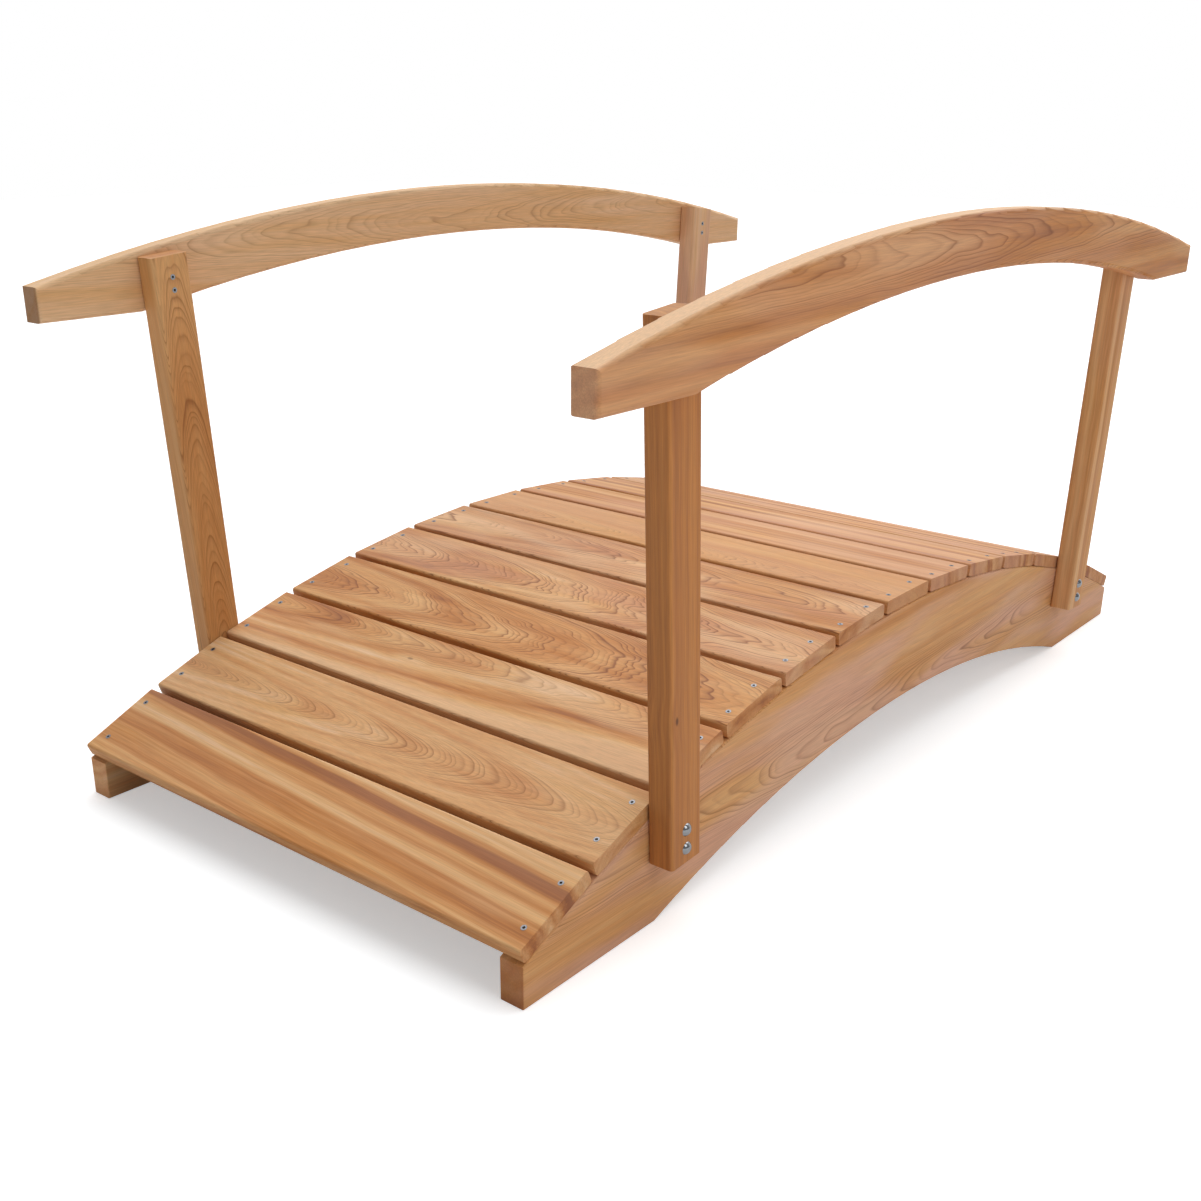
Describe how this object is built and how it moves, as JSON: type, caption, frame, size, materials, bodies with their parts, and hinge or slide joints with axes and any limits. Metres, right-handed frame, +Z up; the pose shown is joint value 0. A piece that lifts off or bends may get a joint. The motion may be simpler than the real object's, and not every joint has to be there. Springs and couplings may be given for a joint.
{
  "type": "arched wooden garden footbridge",
  "caption": "Arched cedar garden footbridge: a plank deck on two sawn stringers, with leaning posts and an arched handrail on each side.",
  "frame": {"origin": "on the ground under the middle of the bridge", "axes": "+X along the span towards the far end, +Y across it towards the left handrail, +Z up"},
  "size_m": [1.8368, 1.041, 0.8578],
  "materials": {
    "cedar": "planed and sanded, no coating",
    "zinc_steel": "zinc plated bolts and screws"
  },
  "bodies": {
    "root": {"right_stringer": "cedar", "left_stringer": "cedar", "deck_board_01": "cedar", "deck_board_02": "cedar", "deck_board_03": "cedar", "deck_board_04": "cedar", "deck_board_05": "cedar", "deck_board_06": "cedar", "deck_board_07": "cedar", "deck_board_08": "cedar", "deck_board_09": "cedar", "deck_board_10": "cedar", "deck_board_11": "cedar", "deck_board_12": "cedar", "deck_board_13": "cedar", "near_right_post": "cedar", "near_left_post": "cedar", "far_right_post": "cedar", "far_left_post": "cedar", "right_handrail": "cedar", "left_handrail": "cedar"}
  },
  "joints": []
}
